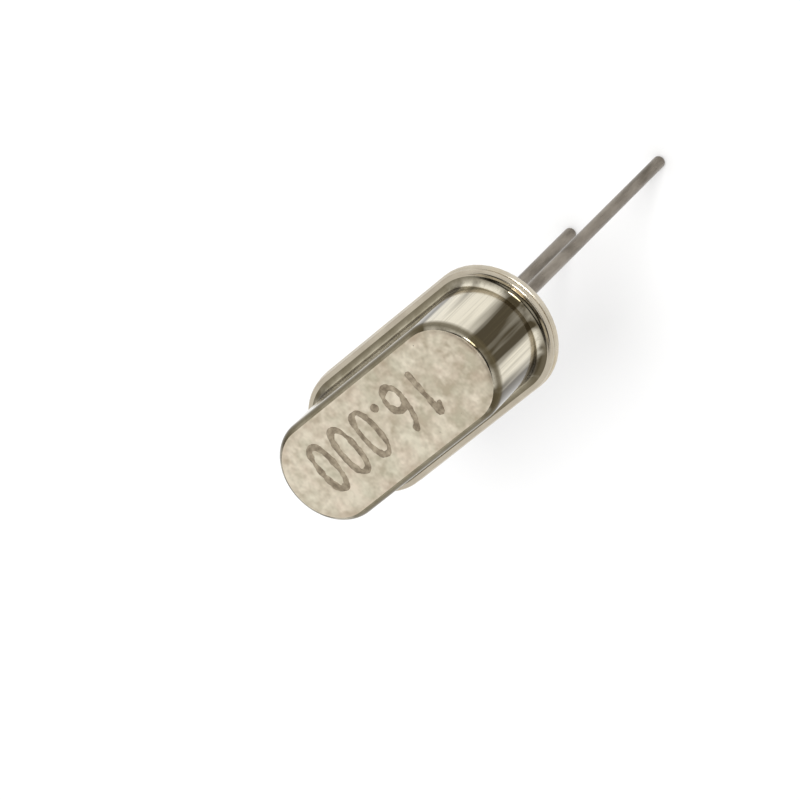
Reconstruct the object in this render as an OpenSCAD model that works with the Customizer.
// Low-profile quartz crystal: a drawn metal can welded to a stamped, glass-sealed header.
//
// Frame: the origin is the middle of the seating plane, which is the underside of the
// header's lip. +Z runs up through the can, and the two leads hang down in line along X.
// The sheet parts are half sections carried round a track with two straights and two
// round ends, so a wall, a lip and a rounded edge keep one thickness all the way round.

/* [Can] */
// Length of the can's body over its round ends
can_l = 10.1; // [9:0.05:12]
// Width of the can's body
can_w = 3.7; // [3.3:0.05:4.2]
// Height of the can's top above the seating plane
can_h = 3.35; // [3:0.05:6]
// Thickness of the can's sheet
can_t = 0.22; // [0.12:0.01:0.3]
// Inside radius of the drawn edge round the top
can_top_in_r = 0.09; // [0.05:0.01:0.3]
// Outside radius in the corner where the wall turns out into the lip
can_foot_r = 0.3; // [0.1:0.01:0.34]
// How far the header's lip stands out from the can's wall
lip_w = 0.475; // [0.45:0.005:0.7]
// How far the can's lip stops short of the header's lip
lip_step = 0.03; // [0:0.005:0.06]

/* [Header] */
// Thickness of the header's sheet
header_t = 0.25; // [0.15:0.01:0.3]
// Height of the raised platform above the seating plane
platform_h = 0.92; // [0.8:0.02:1.2]
// Gap between the platform's wall and the inside of the can
platform_gap = 0.12; // [0.05:0.01:0.25]
// Inside radius of the platform's top edge
platform_in_r = 0.08; // [0.03:0.01:0.15]
// Outside radius in the corner at the platform's foot
platform_foot_r = 0.2; // [0.1:0.01:0.24]
// Thickness of the collar round each glass seal
collar_t = 0.2; // [0.1:0.01:0.25]
// Height of the collar's rim above the seating plane
collar_lift = 0.1; // [0.02:0.01:0.3]

/* [Glass seals] */
// Diameter of a glass seal
glass_d = 1.5; // [1.2:0.05:1.8]
// Radius of the skirt that the glass draws up along the lead
glass_skirt_r = 0.09; // [0.03:0.01:0.15]

/* [Leads] */
// Diameter of a lead
lead_d = 0.43; // [0.35:0.01:0.6]
// Distance between the two leads
lead_pitch = 4.88; // [4.4:0.02:5.4]
// Length of a lead below the seating plane
lead_l = 13.2; // [3:0.1:30]
// Radius of the rounded edge at a lead's tip
lead_tip_r = 0.14; // [0.04:0.01:0.16]
// Diameter of the flattened head inside the can
head_d = 0.86; // [0.7:0.02:1.2]
// Thickness of the flattened head
head_t = 0.14; // [0.08:0.01:0.25]
// Gap between the platform and the underside of the head
head_gap = 0.14; // [0.1:0.01:0.3]
// How much wider the wire has swollen where it meets its head
neck_swell = 0.03; // [0.01:0.01:0.08]

/* [Mounting clips] */
// Thickness of a clip's sheet
clip_t = 0.1; // [0.05:0.01:0.15]
// Width of the clip's foot and riser
clip_w = 0.8; // [0.5:0.05:1.2]
// Inside radius of the clip's bends
clip_bend_r = 0.1; // [0.05:0.01:0.15]
// Height from the top of the head to the top of the shelf
clip_rise = 0.62; // [0.45:0.02:0.9]
// How far the foot reaches inwards past the lead's axis
clip_foot_back = 0.36; // [0.2:0.02:0.6]
// How far the shelf reaches inwards under the quartz from its end
shelf_reach = 0.7; // [0.5:0.02:0.9]
// How far the shelf reaches past the end of the quartz
shelf_over = 0.18; // [0.14:0.01:0.25]
// Gap between the quartz and each side ear
ear_gap = 0.05; // [0.02:0.01:0.1]
// Length of a side ear
ear_l = 0.4; // [0.2:0.02:0.5]
// Height of a side ear above the shelf
ear_h = 0.24; // [0.15:0.01:0.4]

/* [Quartz] */
// Gap between each end of the quartz and the inside of the can
quartz_end_gap = 0.85; // [0.6:0.01:1.2]
// Gap between each long side of the quartz and the inside of the can
quartz_side_gap = 0.68; // [0.55:0.01:0.9]
// Thickness of the quartz strip
quartz_t = 0.12; // [0.06:0.01:0.2]

/* [Electrodes] */
// Thickness of an electrode film
film_t = 0.02; // [0.01:0.005:0.04]
// Length of an electrode's middle field
film_l = 4.4; // [3:0.1:5.4]
// Bare margin along each long side of an electrode
film_margin = 0.25; // [0.1:0.01:0.5]
// Width of the tail that runs from an electrode to one end
tail_w = 0.6; // [0.3:0.02:0.9]

/* [Adhesive] */
// Diameter of a dot of conductive adhesive
dot_d = 0.8; // [0.5:0.02:1]
// Height of a dot above the shelf
dot_h = 0.34; // [0.3:0.01:0.45]

/* [Hidden] */
$fn = 72;

// Half widths of the track's swept sections
can_half = can_w / 2;
can_in_half = can_half - can_t;
platform_half = can_in_half - platform_gap;
header_lip_half = can_half + lip_w;
can_lip_half = header_lip_half - lip_step;
// Every piece of sheet follows one track, so its straights have one length
track_l = can_l - can_w;

glass_r = glass_d / 2;
lead_r = lead_d / 2;
neck_r = (lead_d + neck_swell) / 2;
lead_x = lead_pitch / 2;

// Levels above the seating plane, from the header upwards
head_z = platform_h + head_gap;
foot_z = head_z + head_t;
shelf_z = foot_z + clip_rise;
quartz_z = shelf_z + film_t;

quartz_l = can_l - 2 * (can_t + quartz_end_gap);
quartz_w = can_w - 2 * (can_t + quartz_side_gap);
quartz_end = quartz_l / 2;

// The clip's shelf: its outer end, its flat length and its half width over the ears
shelf_end = quartz_end + shelf_over;
shelf_l = shelf_reach + shelf_over;
shelf_half = quartz_w / 2 + ear_gap + clip_t;

// Carries a half section round the track. X in the section is the distance from the
// track's middle line, and Y is the height above the seating plane.
module sweep_track() {
    for (turn = [0, 180])
        rotate(turn)
            translate([track_l / 2, 0, 0]) {
                rotate(-90)
                    rotate_extrude(angle = 180)
                        children();
                rotate([90, 0, -90])
                    linear_extrude(track_l)
                        children();
            }
}

// Half section of a closed top: width w, height h, outer edge of radius r
module crowned(w, h, r) {
    square([w, h - r]);
    square([w - r, h]);
    translate([w - r, h - r])
        intersection() {
            circle(r);
            square(r);
        }
}

// Web that fills the inner corner between a wall at x and a floor at y, to radius r
module corner_web(x, y, r) {
    translate([x, y])
        difference() {
            square(r);
            translate([r, r])
                circle(r);
        }
}

// Half section of a flat lip of thickness t with a full round edge
module lip(w, y, t) {
    translate([0, y])
        square([w - t / 2, t]);
    translate([w - t / 2, y + t / 2])
        circle(t / 2);
}

// Half section of a pressed hat: a raised top, a wall of one thickness and a round foot
module hat_wall(w, h, top_in_r, foot_r, y, t) {
    difference() {
        union() {
            crowned(w, h, top_in_r + t);
            corner_web(w, y + t, foot_r);
            children();
        }
        crowned(w - t, h - t, top_in_r);
        corner_web(w - t, y, foot_r + t);
    }
}

// The drawn can: flat top, rolled edge, upright wall, flared foot and welding lip
module can() {
    color("#c3bba8")
        sweep_track()
            difference() {
                hat_wall(can_half, can_h, can_top_in_r, can_foot_r, header_t, can_t)
                    lip(can_lip_half, header_t, can_t);
                square([can_lip_half, header_t]);
            }
}

// The stamped header: welding lip, raised platform and a drawn collar for each seal
module header() {
    color("#b4ad9c")
        difference() {
            union() {
                sweep_track()
                    hat_wall(platform_half, platform_h, platform_in_r, platform_foot_r, 0, header_t)
                        lip(header_lip_half, 0, header_t);
                for (side = [-1, 1])
                    translate([side * lead_x, 0, collar_lift])
                        cylinder(r = glass_r + collar_t, h = platform_h - header_t / 2 - collar_lift);
            }
            for (side = [-1, 1])
                translate([side * lead_x, 0, -header_t])
                    cylinder(r = glass_r, h = platform_h + 2 * header_t);
        }
}

// One glass seal, level with its collar, with a skirt up and down the lead
module glass_seal(side) {
    color("#5f7078")
        difference() {
            translate([side * lead_x, 0, 0])
                rotate_extrude() {
                    translate([0, collar_lift])
                        square([glass_r, platform_h - collar_lift]);
                    corner_web(lead_r, platform_h, glass_skirt_r);
                    mirror([0, 1])
                        corner_web(lead_r, -collar_lift, glass_skirt_r);
                }
            lead(side);
        }
}

// One lead: a round wire with a rounded tip, which swells above the seating plane
// towards the head that was pressed flat on its other end
module lead(side) {
    color("#aeaaa2")
        translate([side * lead_x, 0, 0]) {
            mirror([0, 0, 1])
                rotate_extrude()
                    crowned(lead_r, lead_l, lead_tip_r);
            cylinder(r1 = lead_r, r2 = neck_r, h = head_z);
            translate([0, 0, head_z])
                cylinder(d = head_d, h = head_t);
        }
}

// Side view of a clip, measured inwards from the shelf's outer end and up from the foot:
// the shelf, a riser down to the foot, and the foot's run back to the lead
module clip_profile() {
    hat_wall(shelf_l + clip_t + clip_bend_r, clip_rise, clip_bend_r, clip_bend_r, 0, clip_t)
        square([shelf_end - lead_x + clip_foot_back, clip_t]);
}

// One mounting clip: foot welded on the lead's head, riser, shelf and two side ears
module clip(side) {
    color("#a8a79f")
        translate([side * shelf_end, 0, foot_z])
            mirror([side > 0 ? 1 : 0, 0, 0]) {
                rotate([90, 0, 0])
                    linear_extrude(clip_w, center = true)
                        clip_profile();
                translate([0, -shelf_half, clip_rise - clip_t])
                    cube([shelf_l, 2 * shelf_half, clip_t]);
                for (ear_y = [-shelf_half, shelf_half - clip_t])
                    translate([shelf_over, ear_y, clip_rise - clip_t])
                        cube([ear_l, clip_t, clip_t + ear_h]);
            }
}

// The sawn strip of quartz, flat on the two shelves
module quartz_strip() {
    color("#d8dcdd")
        translate([-quartz_end, -quartz_w / 2, quartz_z])
            cube([quartz_l, quartz_w, quartz_t]);
}

// A silver film at height z: a middle field, and a tail to the end on one side
module electrode(side, z) {
    field_w = quartz_w - 2 * film_margin;
    color("#c9ccd0")
        translate([0, 0, z]) {
            translate([-film_l / 2, -field_w / 2, 0])
                cube([film_l, field_w, film_t]);
            mirror([side < 0 ? 1 : 0, 0, 0])
                translate([0, -tail_w / 2, 0])
                    cube([quartz_end, tail_w, film_t]);
        }
}

module electrode_top() {
    electrode(1, quartz_z + quartz_t);
}

module electrode_bottom() {
    electrode(-1, shelf_z);
}

// One dot of adhesive: a cap on the shelf's outer end that laps over the end of the quartz
module adhesive(side) {
    base_r = dot_d / 2;
    cap_r = (base_r * base_r + dot_h * dot_h) / (2 * dot_h);
    color("#8f8b82")
        difference() {
            translate([side * (shelf_end - base_r), 0, shelf_z])
                rotate_extrude()
                    intersection() {
                        translate([0, dot_h - cap_r])
                            circle(cap_r);
                        square([base_r, dot_h]);
                    }
            quartz_strip();
            electrode_top();
            electrode_bottom();
        }
}

can();
header();
glass_seal(-1);  // glass_seal_left
glass_seal(1);  // glass_seal_right
lead(-1);  // lead_left
lead(1);  // lead_right
clip(-1);  // clip_left
clip(1);  // clip_right
quartz_strip();
electrode_top();
electrode_bottom();
adhesive(-1);  // adhesive_left
adhesive(1);  // adhesive_right
